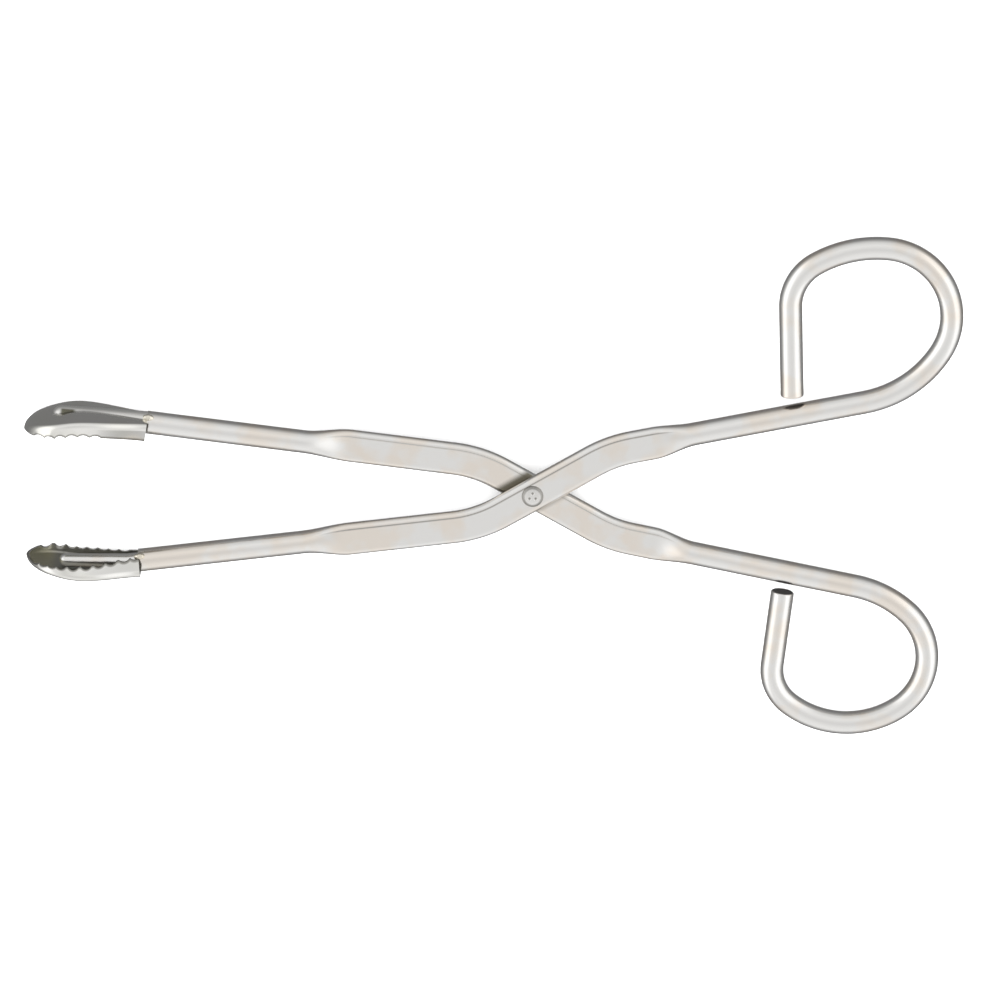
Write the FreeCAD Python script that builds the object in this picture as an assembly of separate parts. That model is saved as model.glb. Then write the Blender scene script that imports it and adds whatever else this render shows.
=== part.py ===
import FreeCAD, Part
import math
import os

# Sterilizing forceps: two bent rods, pressed flat where they cross, lapped and riveted.
# Each rod ends in a stamped, toothed jaw at one end and in an open finger bow at the other.
# Origin: the pivot axis, on the plane where the two flats meet.
# +X points to the finger bows, +Y to the front arm's bow, +Z out of the rivet's dimpled head.

# Rod stock and the pressed flats, in millimetres and degrees
rod_diameter = 5.0
flat_width = 7.2
flat_thickness = 2.5
flat_side_bulge = 1.1
lap_gap = 0.06
round_corner_angle = 42.0
taper_sections = 5

# Where the arms cross
crossing_angle = 30.0
crossing_bend_radius = 27.0
jaw_bend_distance = 13.3
handle_bend_distance = 19.6
jaw_flat_length = 22.3
jaw_taper_length = 10.3
handle_flat_length = 4.6
handle_taper_length = 9.0

# The front arm runs from the lower jaw to the upper bow
front_jaw_slope = 6.6
front_handle_slope = 11.0
front_jaw_rod_length = 35.4
front_handle_rod_length = 37.1
front_bow_bends = [(24.8, 46.9), (15.1, 116.4), (25.9, 35.8), (10.8, 61.2)]

# The back arm runs from the upper jaw to the lower bow
back_jaw_slope = 7.4
back_handle_slope = 12.0
back_jaw_rod_length = 33.9
back_handle_rod_length = 35.8
back_bow_bends = [(23.6, 31.2), (13.9, 104.2), (20.1, 71.0), (9.8, 59.0)]

# The free end of each bow stops short of its own handle
bow_end_gap = 1.9
bow_end_rounding = 0.35

# Rivet
rivet_shank_diameter = 3.0
rivet_running_clearance = 0.05
rivet_head_diameter = 4.7
rivet_head_height = 0.75
rivet_rim_height = 0.3
rivet_dome_rise = 0.65
rivet_head_play = 0.05
rivet_dimple_radius = 0.34
rivet_dimple_depth = 0.25
rivet_dimple_circle = 0.75
rivet_dimple_count = 3

# Stamped jaws: what both share
sheet_thickness = 0.7
jaw_tip_reach = 9.7
jaw_tip_flat = 0.2
jaw_rear_half_width = 5.1
jaw_half_width = 8.9
jaw_leaf_power = 0.67
jaw_shoulder_radius = 1.0
jaw_arch_angle = 7.0
jaw_mouth_lean = 2.4
jaw_lean_power = 1.5
jaw_upright_length = 6.0
jaw_rear_extra_depth = 1.1
jaw_shallow_length = 7.0
jaw_depth_power = 1.4
jaw_nose_power = 2.5
jaw_hook_middle = 7.7
jaw_hook_softness = 2.2
jaw_stations = 11

# The lower jaw holds its rod between its walls
lower_jaw_length = 24.2
lower_jaw_depth = 3.0
lower_tip_hook = 1.95
lower_edge_height = 1.6
lower_edge_slope = 0.035
lower_channel_offsets = [-0.3, 1.9]

# The upper jaw holds its rod in a rib of its back
upper_jaw_length = 26.2
upper_jaw_depth = 3.5
upper_tip_hook = 2.6
upper_edge_height = 3.6
upper_edge_slope = -0.06
upper_channel_offsets = [0.15, 0.85]

# The rod's drawn-down tongue lies in a channel pressed in the jaw's back
channel_rear_radius = 1.8
channel_tip_radius = 1.5
channel_tip_margin = 8.0
channel_lead = 1.0
tongue_neck_length = 2.5
tongue_clearance = 0.05
tongue_end_clearance = 0.5

# Teeth: the valleys' places along each edge, from the rear. Near edges lie towards +Z
lower_near_teeth = [0.6, 2.9, 5.7, 8.3, 11.0, 13.7, 16.3, 18.3, 20.1, 22.0]
lower_far_teeth = [3.1, 5.5, 7.7, 10.1, 12.4, 14.4, 16.9, 19.8]
upper_near_teeth = [10.6, 13.2, 15.6, 18.0, 20.3, 22.5]
upper_far_teeth = [11.6, 14.2, 16.7, 19.1, 21.4]
tooth_half_width = 1.15
tooth_rear_depth = 0.45
tooth_tip_depth = 0.75

# Weld beads where a rod enters its jaw: angles from the opening, towards +Z and -Z
bead_radius = 0.75
bead_reach = 2.4
bead_length = 1.0
bead_lap = 0.3
lower_bead_angles = [54.0, 78.0]
upper_bead_angles = [131.0, 112.0]

UP = FreeCAD.Vector(0, 0, 1)
rod_radius = rod_diameter / 2


def direction(heading):
    """Unit vector in the XY plane at a heading in degrees."""
    angle = math.radians(heading)
    return FreeCAD.Vector(math.cos(angle), math.sin(angle), 0)


def left_of(heading):
    """Unit vector a quarter turn to the left of a heading."""
    return direction(heading + 90)


def straight(start, heading, length):
    """A straight run: its edge, its end point and its heading."""
    end = start + direction(heading) * length
    return Part.LineSegment(start, end).toShape(), end, heading


def bend(start, heading, radius, turn):
    """A round bend that turns left when turn is positive."""
    side = 1 if turn > 0 else -1
    centre = start + left_of(heading) * radius * side
    middle = centre - left_of(heading + turn / 2) * radius * side
    end = centre - left_of(heading + turn) * radius * side
    return Part.Arc(start, middle, end).toShape(), end, heading + turn


def round_profile(point, heading, radius):
    """A circle square to the path."""
    return Part.Wire([Part.makeCircle(radius, point, direction(heading))])


def pressed_profile(point, heading, z_side, pressed):
    """The rod's section while it is pressed flat: pressed goes from 0, round, to 1, flat.

    The outer face keeps the rod's height, and the inner face moves up to the lap plane.
    """
    ease = pressed * pressed * (3 - 2 * pressed)
    corner = math.radians(round_corner_angle)
    round_face = rod_radius * math.sin(corner)
    flat_face = flat_width / 2 - flat_side_bulge
    half_face = round_face + (flat_face - round_face) * ease
    half_width = rod_radius + (flat_width / 2 - rod_radius) * ease
    flat_middle = z_side * (lap_gap + flat_thickness) / 2
    half_height = rod_radius + (flat_thickness / 2 - rod_radius) * ease
    crown = rod_radius * (1 - math.cos(corner)) * (1 - ease)
    middle = point + UP * flat_middle * ease
    side = left_of(heading)

    def at(across, height):
        return middle + side * across + UP * height

    corner_height = half_height - crown
    corners = [at(half_face, corner_height), at(-half_face, corner_height),
               at(-half_face, -corner_height), at(half_face, -corner_height)]
    if crown > 0:
        top = Part.Arc(corners[0], at(0, half_height), corners[1]).toShape()
        bottom = Part.Arc(corners[2], at(0, -half_height), corners[3]).toShape()
    else:
        top = Part.LineSegment(corners[0], corners[1]).toShape()
        bottom = Part.LineSegment(corners[2], corners[3]).toShape()
    far_side = Part.Arc(corners[1], at(-half_width, 0), corners[2]).toShape()
    near_side = Part.Arc(corners[3], at(half_width, 0), corners[0]).toShape()
    return Part.Wire([top, far_side, bottom, near_side])


def swept(edges, profile):
    """A profile carried along straight runs and bends."""
    return Part.Wire(edges).makePipeShell([profile], True, False)


def taper(start, heading, length, z_side):
    """The stretch where the flat swells back into round rod, from the flat end outwards."""
    sections = []
    for index in range(taper_sections):
        share = index / (taper_sections - 1)
        sections.append(pressed_profile(start + direction(heading) * length * share,
                                        heading, z_side, 1 - share))
    return Part.makeLoft(sections, True, False)


def crossing(z_side, turn_side, jaw_slope, handle_slope):
    """The pressed flat from one taper to the other, and where each taper starts.

    turn_side is +1 for the arm whose handle rises to +Y, and -1 for the other.
    """
    origin = FreeCAD.Vector(0, 0, 0)
    handle_turn = handle_slope - crossing_angle
    jaw_turn = jaw_slope - crossing_angle
    handle_tangent = crossing_bend_radius * math.tan(math.radians(-handle_turn / 2))
    jaw_tangent = crossing_bend_radius * math.tan(math.radians(-jaw_turn / 2))
    pieces = []
    ends = []
    for away, tangent, distance, turn, flat_length in (
            (0, handle_tangent, handle_bend_distance, handle_turn, handle_flat_length),
            (180, jaw_tangent, jaw_bend_distance, jaw_turn, jaw_flat_length)):
        heading = away + crossing_angle * turn_side
        profile = pressed_profile(origin, heading, z_side, 1)
        first, point, heading = straight(origin, heading, distance - tangent)
        second, point, heading = bend(point, heading, crossing_bend_radius, turn * turn_side)
        third, point, heading = straight(point, heading, flat_length)
        pieces.append(swept([first, second, third], profile))
        ends.append((point, heading))
    return pieces[0].fuse(pieces[1]), ends[0], ends[1]


def bow(start, heading, rod_length, bends, turn_side):
    """The round handle and its finger bow, which curls back and stops short of the handle."""
    edge, point, heading = straight(start, heading, rod_length)
    edges = [edge]
    handle_heading = heading
    for radius, turn in bends:
        edge, point, heading = bend(point, heading, radius, turn * turn_side)
        edges.append(edge)
    inward = left_of(handle_heading) * turn_side
    height = (point - start).dot(inward) - rod_radius - bow_end_gap
    leg_length = height / -direction(heading).dot(inward)
    edge, point, heading = straight(point, heading, leg_length)
    edges.append(edge)
    rod = swept(edges, round_profile(start, handle_heading, rod_radius))
    rims = [e for e in rod.Edges if (e.CenterOfMass - point).Length < bow_end_rounding]
    return rod.makeFillet(bow_end_rounding, rims)


def channel_length(form):
    """Length from the jaw's rear edge to the centre of the channel's round end."""
    return form["length"] - channel_tip_margin


def channel_at(along, form):
    """Height of the channel's centre over the rod's axis, and its inner radius."""
    share = along / channel_length(form)
    rear, tip = form["channel_offsets"]
    radius = channel_rear_radius + (channel_tip_radius - channel_rear_radius) * share
    return rear + (tip - rear) * share, radius


def tongue(start, heading, opening, form):
    """The rod's drawn-down end: a neck, then a slim cone with a round tip, in the channel."""
    end_length = channel_length(form) - tongue_end_clearance
    neck_offset, neck_radius = channel_at(tongue_neck_length, form)
    end_offset, end_radius = channel_at(end_length, form)
    neck_centre = start + direction(heading) * tongue_neck_length + opening * neck_offset
    end_centre = start + direction(heading) * end_length + opening * end_offset
    axis = end_centre - neck_centre
    neck_radius -= tongue_clearance
    end_radius -= tongue_clearance
    root_centre = start + opening * neck_offset / 2
    root = Part.Wire([Part.makeCircle(neck_radius, root_centre, direction(heading))])
    mouth = Part.Wire([Part.makeCircle(neck_radius, neck_centre, axis)])
    neck = Part.makeLoft([root, mouth], True, True)
    body = Part.makeCone(neck_radius, end_radius, axis.Length, neck_centre, axis)
    return neck.fuse([body, Part.makeSphere(end_radius, end_centre)])


def arm(z_side, turn_side, slopes, rod_lengths, bends, jaw_form, hole_radius):
    """One whole arm, and the point, the heading and the opening side where its jaw begins.

    slopes and rod_lengths give the jaw's side first, then the handle's.
    """
    flat, handle_end, jaw_end = crossing(z_side, turn_side, slopes[0], slopes[1])
    handle_taper = taper(handle_end[0], handle_end[1], handle_taper_length, z_side)
    jaw_taper = taper(jaw_end[0], jaw_end[1], jaw_taper_length, z_side)
    handle_start = handle_end[0] + direction(handle_end[1]) * handle_taper_length
    handle = bow(handle_start, handle_end[1], rod_lengths[1], bends, turn_side)
    rod_start = jaw_end[0] + direction(jaw_end[1]) * jaw_taper_length
    rod = Part.makeCylinder(rod_radius, rod_lengths[0], rod_start, direction(jaw_end[1]))
    seat = rod_start + direction(jaw_end[1]) * rod_lengths[0]
    opening = left_of(jaw_end[1]) * -turn_side
    end = tongue(seat, jaw_end[1], opening, jaw_form)
    whole = flat.fuse([handle_taper, jaw_taper, handle, rod, end])
    hole = Part.makeCylinder(hole_radius, 4 * rod_diameter, UP * -2 * rod_diameter)
    return whole.cut(hole).removeSplitter(), seat, jaw_end[1], opening


def tip_share(along, form):
    """0 behind the jaw's widest place, rising to 1 at its tip."""
    widest_at = form["length"] - jaw_tip_reach
    return min(max(along - widest_at, 0) / jaw_tip_reach, 1)


def rear_share(along, form):
    """0 at the jaw's rear edge, rising to 1 at its widest place."""
    return min(max(along, 0) / (form["length"] - jaw_tip_reach), 1)


def jaw_half_width_at(along, form):
    """Plan outline of the back: it widens to a leaf and closes in an ellipse at the tip."""
    wave = (1 - math.cos(math.pi * rear_share(along, form))) / 2
    growth = (jaw_half_width - jaw_rear_half_width) * wave ** jaw_leaf_power
    return (jaw_rear_half_width + growth) * math.sqrt(1 - tip_share(along, form) ** 2)


def jaw_lean_at(along, form):
    """How far the walls lean in: most at the rear, and not at all near the tip."""
    share = min(max(along, 0) / (form["length"] - jaw_upright_length), 1)
    return jaw_mouth_lean * (1 - share ** jaw_lean_power)


def jaw_depth_at(along, form):
    """Depth of the back below the edges: deepest at the rear, and closed at the tip."""
    share = min(max(along, 0) / (form["length"] - jaw_shallow_length), 1)
    depth = form["depth"] + jaw_rear_extra_depth * (1 - share) ** jaw_depth_power
    return depth * math.sqrt(1 - tip_share(along, form) ** jaw_nose_power)


def jaw_edge_at(along, form):
    """Height of the edges over the rod's axis: they step softly towards the other jaw."""
    past_middle = along - form["length"] + jaw_hook_middle
    step = 1 / (1 + math.exp(-past_middle / jaw_hook_softness))
    return form["edge_height"] + form["edge_slope"] * along + form["tip_hook"] * step


def jaw_profile(along, form, inset, rise):
    """One section of the stamping: two leaning walls, two shoulders and a slightly arched back.

    Each wall runs from the edge to where it touches the shoulder's circle, and the arch
    starts at its own slope, so the outline has no corner.
    """
    half_width = jaw_half_width_at(along, form) - inset
    mouth = half_width - jaw_lean_at(along, form)
    depth = jaw_depth_at(along, form) - inset
    radius = min(jaw_shoulder_radius - inset / 2, half_width / 2, depth / 2)
    edge = jaw_edge_at(along, form)
    centre_across = half_width - radius
    centre_height = edge - depth + radius
    reach = math.hypot(mouth - centre_across, edge - centre_height)
    bearing = math.atan2(edge - centre_height, mouth - centre_across)
    wall_normal = bearing - math.acos(radius / reach)
    arch_normal = math.radians(jaw_arch_angle) - math.pi / 2
    arch_end = centre_across + radius * math.cos(arch_normal)
    arch_height = centre_height + radius * math.sin(arch_normal)
    arch_bottom = arch_height - arch_end * math.tan(math.radians(jaw_arch_angle / 2))

    def at(height, across):
        return FreeCAD.Vector(along, height, across)

    def on_shoulder(share, side):
        angle = wall_normal + (arch_normal - wall_normal) * share
        return at(centre_height + radius * math.sin(angle),
                  side * (centre_across + radius * math.cos(angle)))

    near = [on_shoulder(share, 1) for share in (0, 0.5, 1)]
    far = [on_shoulder(share, -1) for share in (1, 0.5, 0)]
    edges = [Part.LineSegment(at(edge, mouth), near[0]).toShape(),
             Part.Arc(near[0], near[1], near[2]).toShape(),
             Part.Arc(near[2], at(arch_bottom, 0), far[0]).toShape(),
             Part.Arc(far[0], far[1], far[2]).toShape(),
             Part.LineSegment(far[2], at(edge, -mouth)).toShape()]
    if rise > 0:
        edges.append(Part.LineSegment(at(edge, -mouth), at(edge + rise, -mouth)).toShape())
        edges.insert(0, Part.LineSegment(at(edge + rise, mouth), at(edge, mouth)).toShape())
    edges.append(Part.LineSegment(at(edge + rise, -mouth), at(edge + rise, mouth)).toShape())
    return Part.Wire(edges)


def jaw_stretch(start, end, form, inset, rise):
    """The stamping's outer or inner form, lofted over stations that close up at the tip."""
    sections = []
    for index in range(jaw_stations):
        share = math.sin(math.pi / 2 * index / (jaw_stations - 1))
        sections.append(jaw_profile(start + (end - start) * share, form, inset, rise))
    return Part.makeLoft(sections, True, False)


def channel(form, wall):
    """The channel's bar, with a round end: its hollow, or its outside when wall is added."""
    rear_offset, rear_radius = channel_at(-channel_lead, form)
    tip_offset, tip_radius = channel_at(channel_length(form), form)
    start = FreeCAD.Vector(-channel_lead, rear_offset, 0)
    end = FreeCAD.Vector(channel_length(form), tip_offset, 0)
    axis = end - start
    body = Part.makeCone(rear_radius + wall, tip_radius + wall, axis.Length, start, axis)
    return body.fuse(Part.makeSphere(tip_radius + wall, end))


def tooth_cutters(form):
    """Round valleys across both edges, deep at the tip and shallower at the rear."""
    cutters = []
    reach = jaw_half_width + sheet_thickness
    for side, places in ((form["near_side"], form["near_teeth"]),
                         (-form["near_side"], form["far_teeth"])):
        for along in places:
            share = along / form["length"]
            depth = tooth_rear_depth + (tooth_tip_depth - tooth_rear_depth) * share
            radius = (tooth_half_width ** 2 + depth ** 2) / (2 * depth)
            centre = FreeCAD.Vector(along, jaw_edge_at(along, form) - depth + radius, 0)
            cutters.append(Part.makeCylinder(radius, reach, centre, UP * side))
    return cutters


def jaw(form):
    """A stamped jaw: +X to its tip, +Y to the other jaw, on the axis of its rod."""
    outer_end = form["length"] - jaw_tip_flat
    outer = jaw_stretch(0, outer_end, form, 0, 0)
    inner = jaw_stretch(-sheet_thickness, outer_end - sheet_thickness, form,
                        sheet_thickness, form["tip_hook"] + sheet_thickness)
    size = 4 * rod_diameter
    behind = Part.makeBox(size, size, size, FreeCAD.Vector(-size, -size / 2, -size / 2))
    rib = channel(form, sheet_thickness).cut(behind)
    return outer.fuse(rib).cut(inner).cut(channel(form, 0)).cut(tooth_cutters(form))


def placed_on_rod(shape, seat, heading, opening):
    """Moves a jaw from its own axes to the end of its rod."""
    along = direction(heading)
    flip = along.cross(opening)
    matrix = FreeCAD.Matrix(along.x, opening.x, flip.x, seat.x,
                            along.y, opening.y, flip.y, seat.y,
                            along.z, opening.z, flip.z, seat.z,
                            0, 0, 0, 1)
    moved = shape.copy()
    moved.Placement = FreeCAD.Placement(matrix)
    return moved


def weld_beads(seat, heading, opening, angles, jaw_shape):
    """A bead each side, laid over the seam between the rod's end and the jaw's rear edge."""
    along = direction(heading)
    core = Part.makeCylinder(rod_radius, 2 * rod_diameter, seat - along * rod_diameter, along)
    beads = []
    for side, angle in zip((1, -1), angles):
        turn = math.radians(angle)
        outwards = opening * math.cos(turn) + UP * side * math.sin(turn)
        end = seat + outwards * bead_reach + along * bead_lap
        start = end - along * bead_length
        run = Part.makeCylinder(bead_radius, bead_length, start, along)
        bead = run.fuse([Part.makeSphere(bead_radius, start), Part.makeSphere(bead_radius, end)])
        beads.append(bead.cut(core).cut(jaw_shape))
    return beads


def rivet():
    """The pivot: tight in the front arm and free in the back arm.

    Each head is a dome on a short rim, with its top pressed flat.
    """
    head_radius = rivet_head_diameter / 2
    dome_radius = (head_radius ** 2 + rivet_dome_rise ** 2) / (2 * rivet_dome_rise)
    top = lap_gap / 2 + flat_thickness
    bottom = -top - rivet_head_play
    heads = []
    for side, face in ((1, top), (-1, bottom)):
        centre = UP * (face + side * (rivet_rim_height + rivet_dome_rise - dome_radius))
        slab = Part.makeCylinder(head_radius, rivet_head_height, UP * face, UP * side)
        heads.append(Part.makeSphere(dome_radius, centre).common(slab))
    shank = Part.makeCylinder(rivet_shank_diameter / 2, top - bottom, UP * bottom)
    body = shank.fuse(heads)
    dimples = []
    for index in range(rivet_dimple_count):
        spot = direction(90 + 360 / rivet_dimple_count * index) * rivet_dimple_circle
        height = top + rivet_head_height + rivet_dimple_radius - rivet_dimple_depth
        dimples.append(Part.makeSphere(rivet_dimple_radius, spot + UP * height))
    return body.cut(dimples)


def save(name, solids):
    """Writes one node and prints what it holds."""
    shape = solids[0] if len(solids) == 1 else Part.makeCompound(solids)
    shape.exportStep("parts/" + name + ".step")
    box = shape.BoundBox
    print(name, "solids", len(shape.Solids), "valid", shape.isValid(), "volume", round(shape.Volume, 1),
          "x", round(box.XMin, 1), round(box.XMax, 1), "y", round(box.YMin, 1), round(box.YMax, 1),
          "z", round(box.ZMin, 1), round(box.ZMax, 1))


os.makedirs("parts", exist_ok=True)

lower_form = {"length": lower_jaw_length, "depth": lower_jaw_depth, "tip_hook": lower_tip_hook,
              "edge_height": lower_edge_height, "edge_slope": lower_edge_slope,
              "channel_offsets": lower_channel_offsets,
              "near_teeth": lower_near_teeth, "far_teeth": lower_far_teeth, "near_side": -1}
upper_form = {"length": upper_jaw_length, "depth": upper_jaw_depth, "tip_hook": upper_tip_hook,
              "edge_height": upper_edge_height, "edge_slope": upper_edge_slope,
              "channel_offsets": upper_channel_offsets,
              "near_teeth": upper_near_teeth, "far_teeth": upper_far_teeth, "near_side": 1}
rivet_radius = rivet_shank_diameter / 2
front_arm, front_seat, front_heading, front_opening = arm(
    1, 1, (front_jaw_slope, front_handle_slope), (front_jaw_rod_length, front_handle_rod_length),
    front_bow_bends, lower_form, rivet_radius)
back_arm, back_seat, back_heading, back_opening = arm(
    -1, -1, (back_jaw_slope, back_handle_slope), (back_jaw_rod_length, back_handle_rod_length),
    back_bow_bends, upper_form, rivet_radius + rivet_running_clearance)
lower_jaw = placed_on_rod(jaw(lower_form), front_seat, front_heading, front_opening)
upper_jaw = placed_on_rod(jaw(upper_form), back_seat, back_heading, back_opening)

save("front_arm", [front_arm])
save("back_arm", [back_arm])
save("lower_jaw", [lower_jaw])
save("upper_jaw", [upper_jaw])
save("pivot_rivet", [rivet()])
save("lower_jaw_welds", weld_beads(front_seat, front_heading, front_opening,
                                   lower_bead_angles, lower_jaw))
save("upper_jaw_welds", weld_beads(back_seat, back_heading, back_opening,
                                   upper_bead_angles, upper_jaw))
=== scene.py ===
# %% [markdown]
# # Sterilizing forceps
# Two steel rods are bent, pressed flat where they cross, and held together by one rivet.
# Each rod carries a stamped and toothed jaw at one end, and is curled into an open finger
# bow at the other. Lengths are in millimetres until a mesh is made, and then in metres.

# %% Load the frame
import math
import bpy
import numpy as np
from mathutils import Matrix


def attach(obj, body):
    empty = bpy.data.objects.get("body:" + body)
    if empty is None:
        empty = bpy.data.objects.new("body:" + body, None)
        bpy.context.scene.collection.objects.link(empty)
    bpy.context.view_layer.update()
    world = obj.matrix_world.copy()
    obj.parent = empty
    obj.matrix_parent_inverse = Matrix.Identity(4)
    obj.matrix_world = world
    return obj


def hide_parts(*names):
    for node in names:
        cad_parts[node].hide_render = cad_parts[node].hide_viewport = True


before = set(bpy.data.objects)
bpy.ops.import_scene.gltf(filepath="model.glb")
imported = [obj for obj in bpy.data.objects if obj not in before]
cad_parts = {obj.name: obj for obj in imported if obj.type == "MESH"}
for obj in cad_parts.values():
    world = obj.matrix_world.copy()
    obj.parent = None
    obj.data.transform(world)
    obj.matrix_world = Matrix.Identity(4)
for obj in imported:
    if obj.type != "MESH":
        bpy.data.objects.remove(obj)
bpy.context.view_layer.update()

# %% [markdown]
# ## From a grid of points to a mesh
# Every piece below is a closed skin: a row of closed rings, one after another. A ring goes
# round the piece and the rows go along it. Blender could also sweep a curve or thicken a
# plane with modifiers, but the pressed flats and the toothed rims need their own section at
# each place. With the points as numpy arrays, the faces between them follow from counting
# alone. Vertices that fall on one spot, as at a pointed tip, are joined.

# %% A skin from rings
import bmesh

MM = 0.001


def ring_faces(rows, columns):
    """Four corners per face between ring i and ring i + 1, with the last column joined to the first."""
    i = np.arange(rows - 1)[:, None]
    j = np.arange(columns)[None, :]
    k = (j + 1) % columns
    corners = [i * columns + j, i * columns + k, (i + 1) * columns + k, (i + 1) * columns + j]
    return np.stack(corners, axis=-1).reshape(-1, 4)


def ring_uv(along, around):
    """UV of each face corner: the length along the piece, and the way round it, both in millimetres."""
    rows, columns = len(along), len(around) - 1
    u = np.broadcast_to(along[:, None], (rows, columns + 1))
    v = np.broadcast_to(around[None, :], (rows, columns + 1))
    both = np.stack([u, v], axis=-1)
    corners = [both[:-1, :-1], both[:-1, 1:], both[1:, 1:], both[1:, :-1]]
    return np.stack(corners, axis=2).reshape(-1, 2)


def skin(name, rings, along, around, caps, sharp_angle):
    """A mesh object from rings of points, in metres. caps are extra faces, as lists of point numbers."""
    rows, columns = rings.shape[:2]
    faces = ring_faces(rows, columns)
    mesh = bpy.data.meshes.new(name)
    mesh.from_pydata((rings.reshape(-1, 3) * MM).tolist(), [], faces.tolist() + caps)
    layer = mesh.uv_layers.new(name="metal_grain")
    point_uv = np.stack(np.meshgrid(along, around[:-1], indexing="ij"), axis=-1).reshape(-1, 2)
    cap_uv = [point_uv[corner] for cap in caps for corner in cap]
    uv = np.concatenate([ring_uv(along, around), np.array(cap_uv).reshape(-1, 2)])
    layer.data.foreach_set("uv", uv.astype(np.float32).ravel())
    merge = bmesh.new()
    merge.from_mesh(mesh)
    bmesh.ops.remove_doubles(merge, verts=merge.verts, dist=1e-7)
    merge.to_mesh(mesh)
    merge.free()
    mesh.shade_smooth()
    mesh.set_sharp_from_angle(angle=math.radians(sharp_angle))
    piece = bpy.data.objects.new(name, mesh)
    bpy.context.scene.collection.objects.link(piece)
    print(name, len(mesh.vertices), "vertices", len(mesh.polygons), "faces")
    return piece


# %% [markdown]
# ## The line of a bent rod
# A rod is bent on a jig, so its line is a chain of straight runs and round bends. Along a
# run the heading stays the same, and along a bend it turns evenly, so a point at any length
# can be worked out directly. A Bezier curve would come close, but its bends aren't truly
# round, and its length isn't known beforehand.

# %% Points along a bent rod
def bent_line(runs, lengths):
    """Points and headings at the given lengths. runs holds (length, turn in degrees) pairs.

    On a bend of curvature k the point is the bend's centre less the left-hand normal over k.
    """
    points = np.zeros((len(lengths), 2))
    headings = np.zeros(len(lengths))
    start = 0.0
    corner = np.zeros(2)
    heading = 0.0
    for length, turn in runs:
        here = (lengths >= start - 1e-9) & (lengths <= start + length + 1e-9)
        gone = lengths[here] - start
        k = math.radians(turn) / length
        angle = heading + k * gone
        points[here] = corner + travelled(heading, k, gone)
        headings[here] = angle
        corner = corner + travelled(heading, k, np.array([length]))[0]
        heading += math.radians(turn)
        start += length
    return points, headings


def travelled(heading, k, gone):
    """How far a point has moved after going some length at curvature k from a heading."""
    if k == 0:
        return np.stack([gone * math.cos(heading), gone * math.sin(heading)], axis=-1)
    angle = heading + k * gone
    return np.stack([(np.sin(angle) - math.sin(heading)) / k,
                     (math.cos(heading) - np.cos(angle)) / k], axis=-1)


print("quarter turn of radius 10:", bent_line([(10 * math.pi / 2, 90)], np.array([0, 15.708]))[0][1])

# %% [markdown]
# ## The section of the rod, round and pressed
# Where the arms cross, a press squeezes the rod until it is wider and about half as thick.
# Scaling a circle would give an oval, but a press leaves flat faces and bulging sides. So
# the section is made of four arcs: top, bottom and two sides. When it is round, the arcs
# make one circle. When it is pressed, the top and bottom become flat and the sides bulge.
# Each flat also moves off the middle plane, so that the two arms lap without touching.

# %% The four-arc section
ROD_RADIUS = 2.5
FLAT_HALF_WIDTH = 3.6
FLAT_THICKNESS = 2.5
FLAT_SIDE_BULGE = 1.1
LAP_GAP = 0.06
ROUND_CORNER = math.radians(42.0)


def arc(half_chord, rise, t):
    """A circular arc over a chord, with t from -1 to 1: the place along the chord, and the height."""
    angle = np.maximum(2 * np.arctan2(rise, half_chord), 1e-3)
    along = half_chord * np.sin(angle * t) / np.sin(angle)
    height = half_chord * (np.cos(angle * t) - np.cos(angle)) / np.sin(angle)
    return along, height


def rod_section(pressed, z_side, face_steps=22, side_steps=16):
    """Across and height of the section for each value of pressed, from 0, round, to 1, flat."""
    ease = (pressed * pressed * (3 - 2 * pressed))[:, None]
    round_face = ROD_RADIUS * math.sin(ROUND_CORNER)
    half_face = round_face + (FLAT_HALF_WIDTH - FLAT_SIDE_BULGE - round_face) * ease
    half_width = ROD_RADIUS + (FLAT_HALF_WIDTH - ROD_RADIUS) * ease
    half_height = ROD_RADIUS + (FLAT_THICKNESS / 2 - ROD_RADIUS) * ease
    crown = ROD_RADIUS * (1 - math.cos(ROUND_CORNER)) * (1 - ease)
    corner = half_height - crown
    face = np.linspace(-1, 1, face_steps, endpoint=False)[None, :]
    side = np.linspace(-1, 1, side_steps, endpoint=False)[None, :]
    top_x, top_y = arc(half_face, crown, -face)
    far_y, far_x = arc(corner, half_width - half_face, -side)
    bottom_x, bottom_y = arc(half_face, crown, face)
    near_y, near_x = arc(corner, half_width - half_face, side)
    across = np.concatenate([top_x, -half_face - far_x, bottom_x, half_face + near_x], axis=1)
    height = np.concatenate([corner + top_y, far_y, -corner - bottom_y, near_y], axis=1)
    return across, height + z_side * (LAP_GAP + FLAT_THICKNESS) / 2 * ease


print("round section reaches", round(float(rod_section(np.zeros(1), 1)[0].max()), 3), "mm")

# %% [markdown]
# ## One whole arm
# The arm starts at the tongue that lies in the jaw, swells to the full rod, passes through
# the pressed flat and the crossing, and ends in the finger bow. It is one piece of rod, so
# it is one skin here too, and not a rod and a loop joined by a seam. The sizes come first:
# how long each straight run is, and how far each bend of the bow turns at which radius.

# %% Sizes of the two arms
CROSSING_ANGLE = 30.0
CROSSING_RADIUS = 27.0
JAW_BEND_AT = 13.3
HANDLE_BEND_AT = 19.6
JAW_FLAT = 22.3
JAW_TAPER = 10.3
HANDLE_FLAT = 4.6
HANDLE_TAPER = 9.0
BOW_END_GAP = 1.9
BOW_END_ROUNDING = 0.35
POLISHED_AWAY = 0.015
CHANNEL_REAR_RADIUS = 1.8
CHANNEL_TIP_RADIUS = 1.5
CHANNEL_MARGIN = 8.0

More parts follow.
